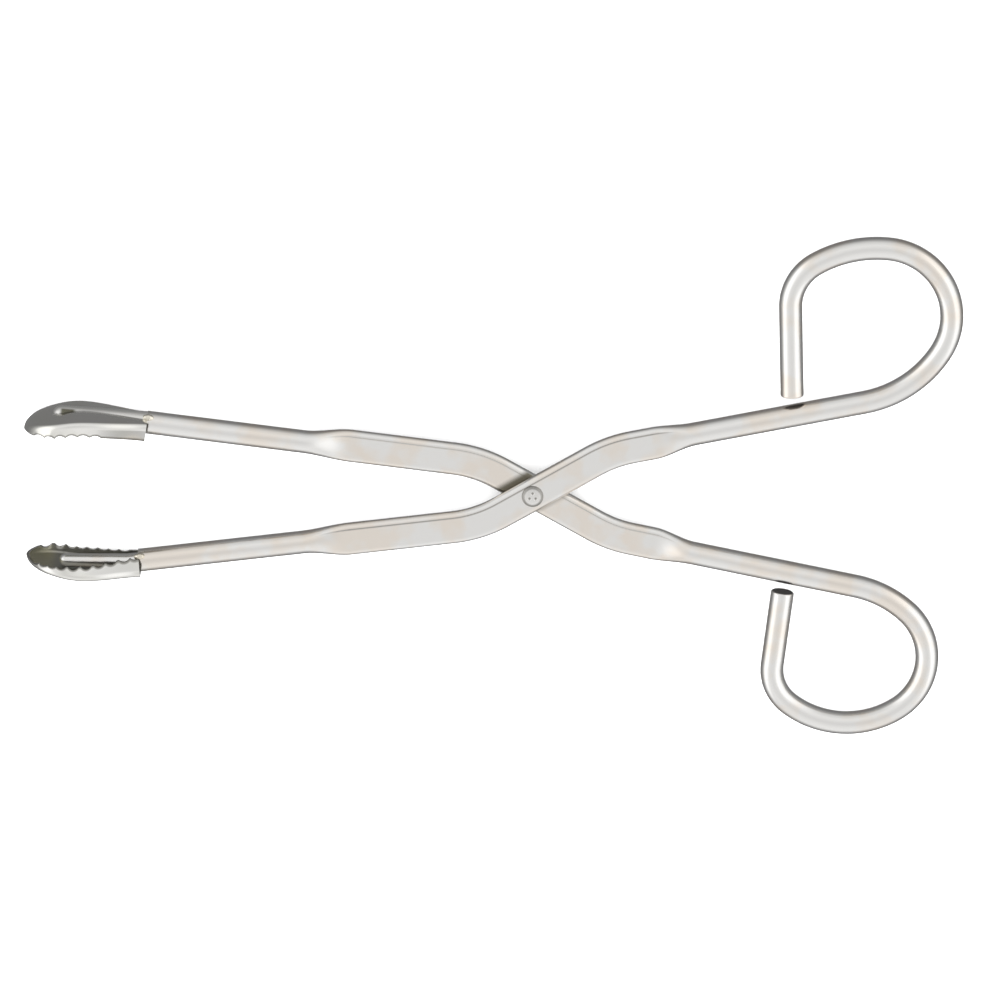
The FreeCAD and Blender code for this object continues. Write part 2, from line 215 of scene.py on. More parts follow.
FRONT = {"z_side": 1, "turn_side": 1, "jaw_slope": 6.6, "handle_slope": 11.0,
         "jaw_rod": 35.4, "handle_rod": 37.1,
         "bends": [(24.8, 46.9), (15.1, 116.4), (25.9, 35.8), (10.8, 61.2)]}
BACK = {"z_side": -1, "turn_side": -1, "jaw_slope": 7.4, "handle_slope": 12.0,
        "jaw_rod": 33.9, "handle_rod": 35.8,
        "bends": [(23.6, 31.2), (13.9, 104.2), (20.1, 71.0), (9.8, 59.0)]}
LOWER = {"length": 24.2, "depth": 3.0, "hook": 1.95, "edge": 1.6, "slope": 0.035,
         "channel": (-0.3, 1.9), "near_side": -1,
         "near": [0.6, 2.9, 5.7, 8.3, 11.0, 13.7, 16.3, 18.3, 20.1, 22.0],
         "far": [3.1, 5.5, 7.7, 10.1, 12.4, 14.4, 16.9, 19.8]}
UPPER = {"length": 26.2, "depth": 3.5, "hook": 2.6, "edge": 3.6, "slope": -0.06,
         "channel": (0.15, 0.85), "near_side": 1,
         "near": [10.6, 13.2, 15.6, 18.0, 20.3, 22.5],
         "far": [11.6, 14.2, 16.7, 19.1, 21.4]}


def channel_at(x, jaw):
    """Height of the channel's centre over the rod's axis, and its inner radius, both even slopes."""
    share = x / (jaw["length"] - CHANNEL_MARGIN)
    rear, tip = jaw["channel"]
    radius = CHANNEL_REAR_RADIUS + (CHANNEL_TIP_RADIUS - CHANNEL_REAR_RADIUS) * share
    return rear + (tip - rear) * share, radius


print("the channel of the upper jaw starts at height and radius", channel_at(0, UPPER))

# %% The runs of an arm
def arm_runs(form):
    """The runs of one arm from the jaw's seat to the bow's free end, as for bent_line."""
    jaw_turn = CROSSING_ANGLE - form["jaw_slope"]
    handle_turn = CROSSING_ANGLE - form["handle_slope"]
    jaw_tangent = CROSSING_RADIUS * math.tan(math.radians(jaw_turn / 2))
    handle_tangent = CROSSING_RADIUS * math.tan(math.radians(handle_turn / 2))
    side = form["turn_side"]
    runs = [(form["jaw_rod"], 0), (JAW_TAPER, 0), (JAW_FLAT, 0),
            (CROSSING_RADIUS * math.radians(jaw_turn), jaw_turn * side),
            (JAW_BEND_AT - jaw_tangent + HANDLE_BEND_AT - handle_tangent, 0),
            (CROSSING_RADIUS * math.radians(handle_turn), -handle_turn * side),
            (HANDLE_FLAT, 0), (HANDLE_TAPER, 0), (form["handle_rod"], 0)]
    bow = [(radius * math.radians(turn), turn) for radius, turn in form["bends"]]
    ends, headings = bent_line(bow, np.array([sum(length for length, turn in bow)]))
    leg = (ends[0, 1] - ROD_RADIUS - BOW_END_GAP) / -math.sin(headings[0])
    return runs + [(length, turn * side) for length, turn in bow] + [(leg, 0)]


for arm_name, arm_form in (("front", FRONT), ("back", BACK)):
    print(arm_name, "arm is", round(sum(length for length, turn in arm_runs(arm_form)), 1), "mm of rod")

# %% [markdown]
# ## From the rod's own line to the shared frame
# The line above starts at the jaw's seat, but the frame has its origin at the rivet. The arm
# is worked out in its own axes first, and then turned and moved so that the crossing falls
# on the origin. The points themselves are moved, and not the object, so that the patterns
# on the steel stay where they are when the model is exported.

# %% Place an arm in the frame
def arm_frame(form):
    """The runs, the length at which the pivot lies, and where and how the seat of the jaw lies."""
    runs = arm_runs(form)
    before_pivot = sum(length for length, turn in runs[:4])
    jaw_turn = math.radians(CROSSING_ANGLE - form["jaw_slope"])
    before_pivot += JAW_BEND_AT - CROSSING_RADIUS * math.tan(jaw_turn / 2)
    first_heading = math.radians(form["jaw_slope"] * form["turn_side"])
    pivot = bent_line(runs, np.array([before_pivot]))[0][0]
    turn = np.array([[math.cos(first_heading), -math.sin(first_heading)],
                     [math.sin(first_heading), math.cos(first_heading)]])
    return runs, first_heading, turn, -turn @ pivot


def in_frame(form, lengths):
    """Points and headings of an arm's line in the shared frame, the pivot at the origin."""
    runs, first_heading, turn, shift = arm_frame(form)
    points, headings = bent_line(runs, lengths)
    return points @ turn.T + shift, headings + first_heading


print("front seat", in_frame(FRONT, np.array([0.0]))[0], "back seat", in_frame(BACK, np.array([0.0]))[0])

# %% [markdown]
# ## The tongue in the jaw
# The end of each rod is drawn down to a tongue, which lies in the jaw's channel and ends in
# a ball. Its rings follow the same channel function as the sheet, less a small play, so the
# two always fit. Near the jaw's mouth a short neck leads over to the full rod.

# %% Rings of a tongue
TONGUE_PLAY = 0.05
TONGUE_MARGIN = 8.5
NECK = 2.5
BALL_RINGS = 12
NECK_SWELL = (2.2, 2.45)


def tongue(jaw):
    """How far each ring lies past the jaw's seat, its radius, and its height over the rod's axis."""
    end = jaw["length"] - TONGUE_MARGIN
    ball = np.linspace(math.pi / 2 - 1e-3, 0, BALL_RINGS)
    tip_centre, tip_radius = channel_at(end, jaw)
    neck_centre, neck_radius = channel_at(NECK, jaw)
    past = np.concatenate([end + (tip_radius - TONGUE_PLAY) * np.sin(ball), np.linspace(end, NECK, 30),
                           np.linspace(NECK, 0.02, 10), np.zeros(3)])
    shift, radius = channel_at(past, jaw)
    shift = np.where(past > end, tip_centre, shift)
    shift = np.where(past < NECK, neck_centre * (1 + past / NECK) / 2, shift)
    radius = np.where(past > end, tip_radius, radius)
    radius = np.where(past < NECK, neck_radius, radius) - TONGUE_PLAY
    radius[:BALL_RINGS] *= np.cos(ball)
    radius[-len(NECK_SWELL):] = NECK_SWELL
    shift[-len(NECK_SWELL):] = 0
    return past, radius, shift


print("the lower jaw's tongue is", round(float(tongue(LOWER)[0].max()), 1), "mm long")

# %% [markdown]
# ## The rings of an arm
# The free end of the bow is cut square with a small rounding. The extra rings at both ends
# are the same section made smaller, so the arm stays one skin with no seam. The rings could
# lie evenly, but they lie closer at the jaw, along the tapers and over the flat, where the
# section changes.

# %% Rings of an arm
def ring_lengths(form, total, flat_start, flat_end):
    """Length of each ring from the seat to the bow's end, and its size against the full rod."""
    handle = flat_end + HANDLE_TAPER
    line = np.concatenate([np.linspace(0.06, form["jaw_rod"], 60),
                           np.linspace(form["jaw_rod"], flat_start, 41)[1:],
                           np.linspace(flat_start, flat_end, 151)[1:],
                           np.linspace(flat_end, handle, 41)[1:],
                           np.linspace(handle, total - BOW_END_ROUNDING, 330)[1:]])
    turn = np.linspace(0, math.pi / 2, 7)[1:]
    rounding = ROD_RADIUS - BOW_END_ROUNDING * (1 - np.cos(turn))
    face = np.linspace(1, 0.02, 7)[1:] * (ROD_RADIUS - BOW_END_ROUNDING)
    lengths = np.concatenate([line, total - BOW_END_ROUNDING * (1 - np.sin(turn)), np.full(6, total)])
    return lengths, np.concatenate([np.full(len(line), ROD_RADIUS), rounding, face]) / ROD_RADIUS


def arm_rings(form, jaw):
    """Rings from the tongue's tip to the bow's end, and the length of each along the arm."""
    runs = arm_frame(form)[0]
    total = sum(length for length, turn in runs)
    flat_start = form["jaw_rod"] + JAW_TAPER
    flat_end = sum(length for length, turn in runs[:7])
    past, radius, shift = tongue(jaw)
    rod_lengths, rod_scale = ring_lengths(form, total, flat_start, flat_end)
    lengths = np.concatenate([-past, rod_lengths])
    scale = np.concatenate([radius / ROD_RADIUS, rod_scale]) * (1 - POLISHED_AWAY / ROD_RADIUS)
    shift = np.concatenate([shift, np.zeros(len(rod_lengths))])
    pressed = np.interp(lengths, [form["jaw_rod"], flat_start, flat_end, flat_end + HANDLE_TAPER],
                        [0, 1, 1, 0])
    points, headings = in_frame(form, np.clip(lengths, 0, total))
    forward = np.stack([np.cos(headings), np.sin(headings)], axis=-1)
    left = np.stack([-np.sin(headings), np.cos(headings)], axis=-1)
    centre = points + forward * np.minimum(lengths, 0)[:, None] + left * (form["turn_side"] * shift)[:, None]
    across, height = rod_section(pressed, form["z_side"])
    plan = centre[:, None, :] + left[:, None, :] * (across * scale[:, None])[:, :, None]
    return np.concatenate([plan, (height * scale[:, None])[:, :, None]], axis=2), lengths


print("rings of an arm", arm_rings(FRONT, LOWER)[0].shape)

# %% Build the two arms
def build_arm(name, form, jaw, body):
    """One arm as a closed skin that stands for its solid."""
    rings, lengths = arm_rings(form, jaw)
    rows, columns = rings.shape[:2]
    around = np.linspace(0, 2 * math.pi * ROD_RADIUS, columns + 1)
    caps = [list(range(columns))[::-1], [(rows - 1) * columns + j for j in range(columns)]]
    piece = skin(name, rings, lengths, around, caps, 50)
    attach(piece, body)
    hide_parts(body)
    return piece


front_arm = build_arm("front_arm_rod", FRONT, LOWER, "front_arm")
back_arm = build_arm("back_arm_rod", BACK, UPPER, "back_arm")

# %% [markdown]
# ## The jaws
# Each jaw is stamped from sheet: a trough with upright walls, rounded shoulders and an arched
# back, which widens like a leaf and closes at a hooked tip. A channel is pressed along the
# back for the rod's tongue. Both edges are cut into round teeth. A single sheet with a
# Solidify modifier would be shorter to write, but its rims would stay sharp and would slant
# at the teeth. So one closed ring goes over the outside, across one edge, back along the
# inside and across the other edge, and the sheet has its real thickness.

# %% The jaw's plan, depth and edge
SHEET = 0.7
TIP_REACH = 9.7
TIP_FLAT = 0.2
REAR_HALF_WIDTH = 5.1
HALF_WIDTH = 8.9
LEAF_POWER = 0.67
MOUTH_LEAN = 2.4
MOUTH_MARGIN = 6.0
REAR_DEPTH = 1.1
DEPTH_MARGIN = 7.0
NOSE_POWER = 2.5
HOOK_MARGIN = 7.7
HOOK_SOFTNESS = 2.2
SHOULDER = 1.0
ARCH = math.radians(7.0)
TOOTH_HALF_WIDTH = 1.15
TOOTH_DEPTH = (0.45, 0.75)
RIM_ROUND = 0.12


def tip_share(x, jaw, inset):
    """0 up to the widest place, rising to 1 at the tip."""
    return np.clip((x - jaw["length"] + TIP_REACH) / (TIP_REACH - TIP_FLAT - inset), 0, 1)


def half_width(x, jaw, inset):
    """Half the back's width: a leaf that grows as a cosine wave, closed by an ellipse."""
    wave = (1 - np.cos(np.pi * np.clip(x / (jaw["length"] - TIP_REACH), 0, 1))) / 2
    leaf = REAR_HALF_WIDTH + (HALF_WIDTH - REAR_HALF_WIDTH) * wave ** LEAF_POWER
    return (leaf - inset - POLISHED_AWAY) * np.sqrt(1 - tip_share(x, jaw, inset) ** 2)


def mouth_lean(x, jaw):
    """How far the walls lean in at their edges: most at the rear, and nothing near the tip."""
    return MOUTH_LEAN * (1 - np.clip(x / (jaw["length"] - MOUTH_MARGIN), 0, 1) ** 1.5)


def depth_below_edge(x, jaw, inset):
    """Depth of the back below the edges: more towards the rear, and closed at the tip."""
    shallow = np.clip(x / (jaw["length"] - DEPTH_MARGIN), 0, 1)
    depth = jaw["depth"] + REAR_DEPTH * (1 - shallow) ** 1.4 - inset
    return depth * np.sqrt(1 - tip_share(x, jaw, inset) ** NOSE_POWER)


def edge_height(x, jaw):
    """Height of the edges over the rod's axis: an even slope, and a soft step near the tip."""
    hooked = 1 / (1 + np.exp(-(x - jaw["length"] + HOOK_MARGIN) / HOOK_SOFTNESS))
    return jaw["edge"] + jaw["slope"] * x + jaw["hook"] * hooked


def valleys(x, jaw, places):
    """Height of a toothed edge, and how deep in a valley each point lies, from 0 to 1."""
    height = edge_height(x, jaw)
    deep = np.zeros_like(x)
    for place in places:
        depth = TOOTH_DEPTH[0] + (TOOTH_DEPTH[1] - TOOTH_DEPTH[0]) * place / jaw["length"]
        radius = (TOOTH_HALF_WIDTH ** 2 + depth ** 2) / (2 * depth)
        bottom = edge_height(np.array([place]), jaw)[0] - depth + radius
        circle = bottom - np.sqrt(np.clip(radius ** 2 - (x - place) ** 2, 0, None))
        near = np.abs(x - place) < TOOTH_HALF_WIDTH * 1.1
        height = np.where(near, np.minimum(height, circle), height)
        deep = np.maximum(deep, np.clip(1 - ((x - place) / TOOTH_HALF_WIDTH) ** 2, 0, 1))
    return height, deep


print("lower jaw is", round(2 * float(half_width(np.array([14.5]), LOWER, 0)[0]), 1), "mm wide")

# %% [markdown]
# ## One side of the sheet
# Seen from its end, the sheet is a wall, a rounded shoulder, the arched back, and the same
# again in reverse. The shoulder is an arc that touches both the wall and the back, so its
# start and end follow from two directions. The channel is a round groove laid over the back:
# the lower of the two heights counts, with the corner between them softened.

# %% The walls and the softened corner
OUTER_FLUTE = (0.22, 2.0)
INNER_FLUTE = (0.40, 0.7)
OUTER_BLEND = 0.1
INNER_BLEND = 0.15


def softer_least(a, b, blend):
    """The lesser of two heights, rounded where they cross."""
    share = np.clip(0.5 + 0.5 * (b - a) / blend, 0, 1)
    return b + (a - b) * share - blend * share * (1 - share)


def wall_points(x, jaw, places, mouth, foot_z, foot_y, flute):
    """A wall from its toothed rim to its foot.

    Each valley also bulges the rim outwards, by a power of its place along the jaw.
    """
    edge = edge_height(x, jaw)[:, None]
    rim, deep = valleys(x, jaw, places)
    start = (edge - rim[:, None] + RIM_ROUND) / (edge - foot_y)
    share = start + (1 - start) * np.linspace(0, 1, 15)[None, :-1]
    most = flute[0] * deep * (x / jaw["length"]) ** flute[1]
    bulge = most[:, None] * (1 - np.linspace(0, 1, 15)[None, :-1]) ** 2
    z = mouth + (foot_z - mouth) * share + bulge
    return np.minimum(z, HALF_WIDTH - 0.02), edge + (foot_y - edge) * share


print("where two heights are equal, the corner is lowered by", -softer_least(0.0, 0.0, OUTER_BLEND), "mm")

# %% The sheet's section
def jaw_side(x, jaw, inset, blend):
    """One side of the sheet, outer or inner, from the far rim over the back to the near rim."""
    wide = half_width(x, jaw, inset)[:, None]
    mouth = wide - mouth_lean(x, jaw)[:, None]
    depth = depth_below_edge(x, jaw, inset)[:, None]
    edge = edge_height(x, jaw)[:, None]
    radius = np.minimum(np.minimum(SHOULDER - inset / 2, wide / 2), depth / 2) + 1e-6
    middle_z, middle_y = wide - radius, edge - depth + radius
    reach = np.hypot(mouth - middle_z, edge - middle_y)
    bearing = np.arctan2(edge - middle_y, mouth - middle_z)
    wall_normal = bearing - np.arccos(np.clip(radius / reach, -1, 1))
    arch_normal = ARCH - math.pi / 2
    turn = wall_normal + (arch_normal - wall_normal) * np.linspace(0, 1, 11)[None, :]
    shoulder_z = middle_z + radius * np.cos(turn)
    shoulder_y = middle_y + radius * np.sin(turn)
    back_z, back_y = arc(shoulder_z[:, -1:], shoulder_z[:, -1:] * math.tan(ARCH / 2),
                         np.linspace(-1, 1, 91)[None, :])
    back_y = shoulder_y[:, -1:] - back_y
    channel_y, channel_radius = channel_at(x, jaw)
    end = jaw["length"] - CHANNEL_MARGIN
    tip_y, tip_radius = channel_at(end, jaw)
    channel_y = np.where(x > end, tip_y, channel_y)
    bar = np.where(x > end, tip_radius, channel_radius) + SHEET - inset
    room = (bar ** 2 - np.clip(x - end, 0, None) ** 2)[:, None] - back_z ** 2
    groove = np.where(room > 0, channel_y[:, None] - np.sqrt(np.clip(room, 0, None)), back_y + 2)
    back_y = softer_least(back_y, groove, blend)
    near, far = (jaw["near"], jaw["far"]) if jaw["near_side"] > 0 else (jaw["far"], jaw["near"])
    flute = INNER_FLUTE if inset > 0 else OUTER_FLUTE
    right_z, right_y = wall_points(x, jaw, near, mouth, shoulder_z[:, :1], shoulder_y[:, :1], flute)
    left_z, left_y = wall_points(x, jaw, far, mouth, shoulder_z[:, :1], shoulder_y[:, :1], flute)
    z = np.concatenate([-left_z, -shoulder_z[:, :-1], back_z, shoulder_z[:, ::-1][:, 1:],
                        right_z[:, ::-1]], axis=1)
    y = np.concatenate([left_y, shoulder_y[:, :-1], back_y, shoulder_y[:, ::-1][:, 1:],
                        right_y[:, ::-1]], axis=1)
    return np.stack([np.broadcast_to(x[:, None], y.shape), y, z], axis=-1)


print("points over one side of the sheet:", jaw_side(np.array([10.0]), LOWER, 0, OUTER_BLEND).shape[1])

# %% Closed rings of a jaw
def jaw_rings(jaw, rows=240):
    """Closed rings of the sheet: outside, near edge, inside and far edge."""
    share = np.sin(np.linspace(0, math.pi / 2, rows))
    end = jaw["length"] - TIP_FLAT
    outer = jaw_side(end * share, jaw, 0, OUTER_BLEND)
    inner = jaw_side((end - SHEET) * share, jaw, SHEET, INNER_BLEND)[:, ::-1]
    t = np.linspace(0, 1, 7)[1:-1][None, :, None]
    lift = RIM_ROUND * np.sin(np.pi * t) * np.array([0, 1, 0])
    near = outer[:, -1:] + (inner[:, :1] - outer[:, -1:]) * t + lift
    far = inner[:, -1:] + (outer[:, :1] - inner[:, -1:]) * t + lift
    return np.concatenate([outer, near, inner, far], axis=1), outer.shape[1]


print("rings of a jaw", jaw_rings(UPPER)[0].shape)

# %% [markdown]
# ## The jaws in the frame
# A jaw is worked out with its tip along x and its mouth towards y, and then laid onto the
# end of its rod. Its UV tells the outside from the inside: round the ring, the outside goes
# from 0 to 30 and the inside starts at 100, so that a finish can be kept to one of them.

# %% Build the two jaws
RIM = 30.0
INSIDE = 100.0


def placed_on_rod(points, form):
    """Points from a jaw's own axes, x to its tip and y to the other jaw, to the shared frame."""
    seat, heading = in_frame(form, np.array([0.0]))
    along = np.array([-math.cos(heading[0]), -math.sin(heading[0]), 0])
    opening = np.array([-math.sin(heading[0]), math.cos(heading[0]), 0]) * form["turn_side"]
    aside = np.cross(along, opening)
    origin = np.array([seat[0, 0], seat[0, 1], 0])
    return origin + points[..., :1] * along + points[..., 1:2] * opening + points[..., 2:] * aside


def build_jaw(name, jaw, form, body, node):
    """One jaw as a closed skin of real thickness."""
    rings, half = jaw_rings(jaw)
    rows, columns = rings.shape[:2]
    along = rings[:, 0, 0]
    inner_start = half + 5
    around = np.concatenate([np.linspace(0, RIM, half), np.full(5, RIM),
                             np.linspace(INSIDE, INSIDE + RIM, half), np.full(6, RIM)])
    caps = [[j, inner_start + half - 1 - j, inner_start + half - 2 - j, j + 1] for j in range(half - 1)]
    piece = skin(name, placed_on_rod(rings, form), along, around, caps, 40)
    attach(piece, body)
    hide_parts(node)
    return piece


lower_jaw = build_jaw("lower_jaw_trough", LOWER, FRONT, "front_arm", "lower_jaw")
upper_jaw = build_jaw("upper_jaw_trough", UPPER, BACK, "back_arm", "upper_jaw")

# %% [markdown]
# ## The rivet
# The rivet is round, so it is a profile spun about the pivot axis. Its head is a low dome
# with a steep rim and a nearly flat top, and three small dimples left by the punch that
# spread it. Cutting them with a Boolean would leave ragged edges in so fine a mesh, so the
# points near three spots are moved down instead.

# %% Build the rivet
HEAD_RADIUS = 2.35
HEAD_HEIGHT = 0.75
SHANK_RADIUS = 1.5
HEAD_PLAY = 0.05
DIMPLE_CIRCLE = 0.75
DIMPLE_REACH = 0.38
DIMPLE_DEPTH = 0.24


def rivet_rings():
    """The rivet's profile from the lower head to the upper one, spun round the axis.

    Height over radius is a flattened oval: one less the radius to the power 3.2, to the power 0.45.
    """
    top = LAP_GAP / 2 + FLAT_THICKNESS
    share = np.sin(np.linspace(0.005, math.pi / 2, 70))
    rise = HEAD_HEIGHT * np.clip(1 - share ** 3.2, 0, 1) ** 0.45
    reach = (HEAD_RADIUS - POLISHED_AWAY) * share
    radius = np.concatenate([reach, [SHANK_RADIUS, SHANK_RADIUS], reach[::-1]])
    z = np.concatenate([-top - HEAD_PLAY - rise, [-top - HEAD_PLAY, top], top + rise[::-1]])
    angle = np.linspace(0, 2 * math.pi, 160, endpoint=False)
    points = np.stack([radius[:, None] * np.cos(angle), radius[:, None] * np.sin(angle),
                       np.broadcast_to(z[:, None], (len(z), len(angle)))], axis=-1)
    for spot in (90, 210, 330):
        middle = DIMPLE_CIRCLE * np.array([math.cos(math.radians(spot)), math.sin(math.radians(spot))])
        away = np.linalg.norm(points[..., :2] - middle, axis=-1)
        sink = DIMPLE_DEPTH * np.clip(1 - (away / DIMPLE_REACH) ** 2, 0, 1) * (points[..., 2] > top)
        points[..., 2] -= sink
    return points, z


rivet_points, rivet_heights = rivet_rings()
rivet_rows, rivet_columns = rivet_points.shape[:2]
rivet = skin("pivot_rivet_heads", rivet_points, rivet_heights, np.linspace(0, 14.8, rivet_columns + 1),
             [list(range(rivet_columns))[::-1],
              [(rivet_rows - 1) * rivet_columns + j for j in range(rivet_columns)]], 50)
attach(rivet, "front_arm")
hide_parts("pivot_rivet")

# %% [markdown]
# ## The weld beads
# A bead of weld metal bridges the rod and each wall of the jaw. It set from a melt, so it is
# a rounded lump with low ripples. A metaball would melt into the rod by itself, but it would
# also join the pieces. So each bead is an ellipsoid of its own, whose size rises and falls
# a little, and it is sunk into the corner.

# %% Build the weld beads
BEAD_RADIUS = 0.74
BEAD_HALF_LENGTH = 1.23
BEAD_REACH = 2.4
BEAD_SET_BACK = 0.2


def bead_points(rows=40, columns=56):
    """A lump: a long ellipsoid with its size lowered by two crossing waves."""
    down = np.linspace(0.01, math.pi - 0.01, rows)[:, None]
    turn = np.linspace(0, 2 * math.pi, columns, endpoint=False)[None, :]
    size = 0.96 - 0.03 * np.sin(7 * down + 2 * np.sin(turn)) * np.sin(down)
    radius = BEAD_RADIUS * size * np.sin(down)
    return np.stack([-np.cos(down) * size * BEAD_HALF_LENGTH, radius * np.cos(turn),
                     radius * np.sin(turn)], axis=-1)


def build_beads(name, form, body, node, angles):
    """Two beads, one at each wall of a jaw."""
    for side, angle in ((1, angles[0]), (-1, angles[1])):
        turn = math.radians(angle)
        aside = -side * form["turn_side"]
        middle = BEAD_REACH * np.array([0, math.cos(turn), aside * math.sin(turn)])
        points = placed_on_rod(bead_points() + middle - np.array([BEAD_SET_BACK, 0, 0]), form)
        rows, columns = points.shape[:2]
        caps = [list(range(columns))[::-1], [(rows - 1) * columns + j for j in range(columns)]]
        bead = skin(name + ("_front" if side > 0 else "_back"), points, np.linspace(0, 3.8, rows),
                    np.linspace(0, 7.5, columns + 1), caps, 60)
        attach(bead, body)
        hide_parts(node)
        yield bead


beads = list(build_beads("lower_bead", FRONT, "front_arm", "lower_jaw_welds", (54, 78)))
beads += list(build_beads("upper_bead", BACK, "back_arm", "upper_jaw_welds", (131, 112)))

# %% [markdown]
# ## The steel
# The forceps are stainless steel, polished to a soft shine. The colour has faint
# straw-coloured clouds left by heat. The polishing leaves very fine lines, which run along
# the rods. A picture of brushed metal would repeat and would have a fixed sharpness, so both
# are noise. The clouds are drawn in the part's own space. The lines are in the roughness and
# in a small bump, both drawn on the skin's own UV so that they follow the bends.

# %% A polished steel
def steel(name, colour, cloud_colour, cloud_share, roughness, grain, bump):
    """A metal with clouds of a second colour, and fine lines stretched along the piece."""
    material = bpy.data.materials.new(name)
    material.use_nodes = True
    nodes, links = material.node_tree.nodes, material.node_tree.links
    shader = nodes["Principled BSDF"]
    shader.inputs["Metallic"].default_value = 1.0
    place = nodes.new("ShaderNodeTexCoord")
    clouds = nodes.new("ShaderNodeTexNoise")
    clouds.inputs["Scale"].default_value = 120.0
    clouds.inputs["Detail"].default_value = 3.0
    links.new(place.outputs["Object"], clouds.inputs["Vector"])
    spread = nodes.new("ShaderNodeMapRange")
    spread.inputs["From Min"].default_value = 0.44
    spread.inputs["From Max"].default_value = 0.60
    spread.inputs["To Max"].default_value = cloud_share
    links.new(clouds.outputs["Fac"], spread.inputs["Value"])
    tint = nodes.new("ShaderNodeMix")
    tint.data_type = "RGBA"
    tint.inputs["A"].default_value = (*colour, 1)
    tint.inputs["B"].default_value = (*cloud_colour, 1)
    links.new(spread.outputs["Result"], tint.inputs["Factor"])
    links.new(tint.outputs["Result"], shader.inputs["Base Color"])
    stretch = nodes.new("ShaderNodeMapping")
    stretch.inputs["Scale"].default_value = grain
    links.new(place.outputs["UV"], stretch.inputs["Vector"])
    lines = nodes.new("ShaderNodeTexNoise")
    lines.inputs["Scale"].default_value = 1.0
    lines.inputs["Detail"].default_value = 6.0
    links.new(stretch.outputs["Vector"], lines.inputs["Vector"])
    rough = nodes.new("ShaderNodeMapRange")
    rough.inputs["From Min"].default_value = 0.3
    rough.inputs["From Max"].default_value = 0.7
    rough.inputs["To Min"].default_value = roughness * 0.8
    rough.inputs["To Max"].default_value = roughness * 1.25
    links.new(lines.outputs["Fac"], rough.inputs["Value"])
    links.new(rough.outputs["Result"], shader.inputs["Roughness"])
    relief = nodes.new("ShaderNodeBump")
    relief.inputs["Strength"].default_value = bump
    relief.inputs["Distance"].default_value = 0.00005
    links.new(lines.outputs["Fac"], relief.inputs["Height"])
    links.new(relief.outputs["Normal"], shader.inputs["Normal"])
    print("steel", name)
    return material


# %% [markdown]
# ## Marks on the steel
# Some places get a second colour: the inside of the jaws, rougher and darkened by painted
# shade, the cut ends, painted dark, and painted shade in the corner where one arm lies over
# the other. Each could be a material of its own, but then its border would have to follow the
# faces. Instead it is a second colour, mixed in by a mask. A mask is a product of soft steps,
# and each step reads one value: a UV length, or a distance from a line.

# %% Masks and layers
def split_uv(material):
    """The UV's two lengths: along the piece and round it."""
    nodes, links = material.node_tree.nodes, material.node_tree.links
    place = nodes.new("ShaderNodeTexCoord")
    parts = nodes.new("ShaderNodeSeparateXYZ")
    links.new(place.outputs["UV"], parts.inputs["Vector"])
    return parts.outputs["X"], parts.outputs["Y"]


def along_direction(material, way):
    """How far a point lies from the pivot along a direction, in metres."""
    nodes, links = material.node_tree.nodes, material.node_tree.links
    place = nodes.new("ShaderNodeTexCoord")
    product = nodes.new("ShaderNodeVectorMath")
    product.operation = "DOT_PRODUCT"
    product.inputs[1].default_value = way
    links.new(place.outputs["Object"], product.inputs[0])
    return product.outputs["Value"]


def step(material, value, start, end):
    """A soft step: 0 at start and before it, and 1 at end and beyond."""
    nodes, links = material.node_tree.nodes, material.node_tree.links
    ramp = nodes.new("ShaderNodeMapRange")
    ramp.interpolation_type = "SMOOTHSTEP"
    ramp.inputs["From Min"].default_value = start
    ramp.inputs["From Max"].default_value = end
    links.new(value, ramp.inputs["Value"])
    return ramp.outputs["Result"]


def joined(material, operation, first, second):
    """Two values multiplied or added. The second may be a plain number."""
    nodes, links = material.node_tree.nodes, material.node_tree.links
    math_node = nodes.new("ShaderNodeMath")
    math_node.operation = operation
    links.new(first, math_node.inputs[0])
    if isinstance(second, float):
        math_node.inputs[1].default_value = second
    else:
        links.new(second, math_node.inputs[1])
    return math_node.outputs["Value"]


def band(material, value, rise, fall):
    """A soft band: 0 outside both pairs, and 1 from the end of rise to the start of fall."""
    return joined(material, "MULTIPLY", step(material, value, *rise), step(material, value, *fall[::-1]))


def painted(material, mask, colour, added_roughness):
    """Mixes a colour in where the mask is 1, and makes the surface rougher there."""
    nodes, links = material.node_tree.nodes, material.node_tree.links
    shader = nodes["Principled BSDF"]
    mix = nodes.new("ShaderNodeMix")
    mix.data_type = "RGBA"
    mix.inputs["B"].default_value = (*colour, 1)
    links.new(mask, mix.inputs["Factor"])
    links.new(shader.inputs["Base Color"].links[0].from_socket, mix.inputs["A"])
    links.new(mix.outputs["Result"], shader.inputs["Base Color"])
    more = joined(material, "MULTIPLY", mask, added_roughness)
    before = shader.inputs["Roughness"].links[0].from_socket
    links.new(joined(material, "ADD", before, more), shader.inputs["Roughness"])


# %% [markdown]
# ## The steel of the arms
# The arms are satin. The cut face at the end of each bow is painted dark and rougher. A thin
# line of painted shade runs along one edge of the pressed flat, where it meets the bulging side,
# and it is darker on the front arm. Both marks read the UV: the length along the rod and the way round it.

# %% The steel of the arms
def rod_steel(name, form, crease_shade_colour):
    """Satin steel with a cut face at the bow's end painted dark, and painted shade along one edge of the
    pressed flat.
    """
    material = steel(name, (0.86, 0.85, 0.83), (0.86, 0.79, 0.71), 0.85, 0.20, (0.25, 6, 1), 0.25)
    length, round_it = split_uv(material)
    total = sum(run_length for run_length, turn in arm_runs(form))
    painted(material, step(material, length, total - 0.03, total - 0.01), (0.16, 0.155, 0.15), 0.3)
    flat_start = form["jaw_rod"] + JAW_TAPER
    flat_end = sum(run_length for run_length, turn in arm_runs(form)[:7])
    # Painted shade: a thin dark line along one edge of the pressed flat, darker on the front arm.
    pressed = band(material, length, (flat_start - 7.0, flat_start), (flat_end, flat_end + 6.0))
    line = joined(material, "MULTIPLY", pressed, step(material, round_it, 0.4, 0.15))
    painted(material, line, crease_shade_colour, 0.1)
    return material
